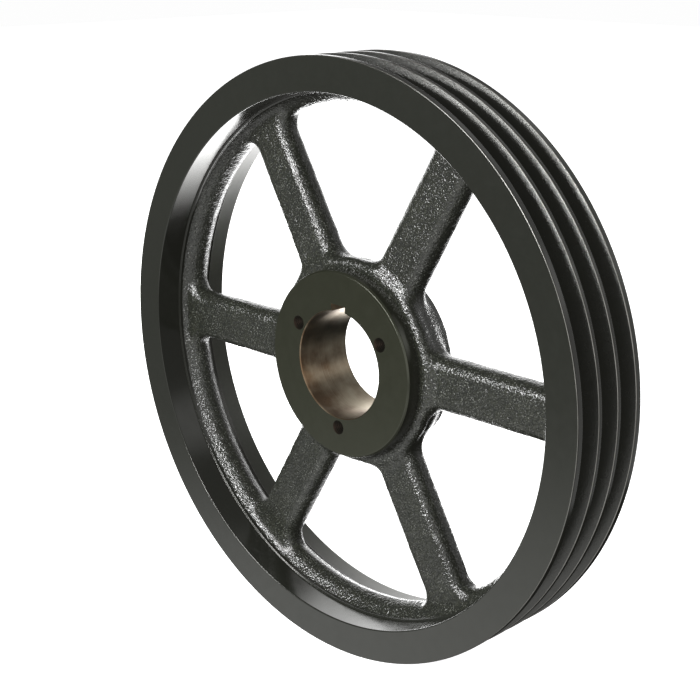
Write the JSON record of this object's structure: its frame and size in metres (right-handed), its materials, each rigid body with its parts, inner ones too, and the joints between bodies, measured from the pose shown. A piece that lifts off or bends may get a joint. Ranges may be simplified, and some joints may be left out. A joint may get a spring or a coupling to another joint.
{
  "type": "v belt pulley",
  "caption": "Wide cast iron V-belt pulley with grooved rim, flat spokes and a recessed hub bored for a tapered bushing.",
  "frame": {"origin": "on the wheel's axis, half way across the rim", "axes": "+Y along the axis from the hub's tapped face to its plain face, +Z from the axis to the keyway, +X to the right seen from the tapped face"},
  "size_m": [0.4154, 0.0636, 0.4154],
  "materials": {
    "machined_paint": "satin dark grey-green enamel over turned iron",
    "groove_paint": "satin near-black enamel over turned iron",
    "cast_paint": "glossy dark enamel over rough sand casting",
    "hub_paint": "satin dark grey-green enamel outside, bare turned bore"
  },
  "bodies": {
    "root": {"hub": "hub_paint", "arm_1": "cast_paint", "arm_2": "cast_paint", "arm_3": "cast_paint", "arm_4": "cast_paint", "arm_5": "cast_paint", "arm_6": "cast_paint", "rim_band": "machined_paint", "rim_rib": "cast_paint", "front_flange": "machined_paint", "groove_divider_1": "groove_paint", "groove_divider_2": "groove_paint", "rear_flange": "machined_paint"}
  },
  "joints": []
}
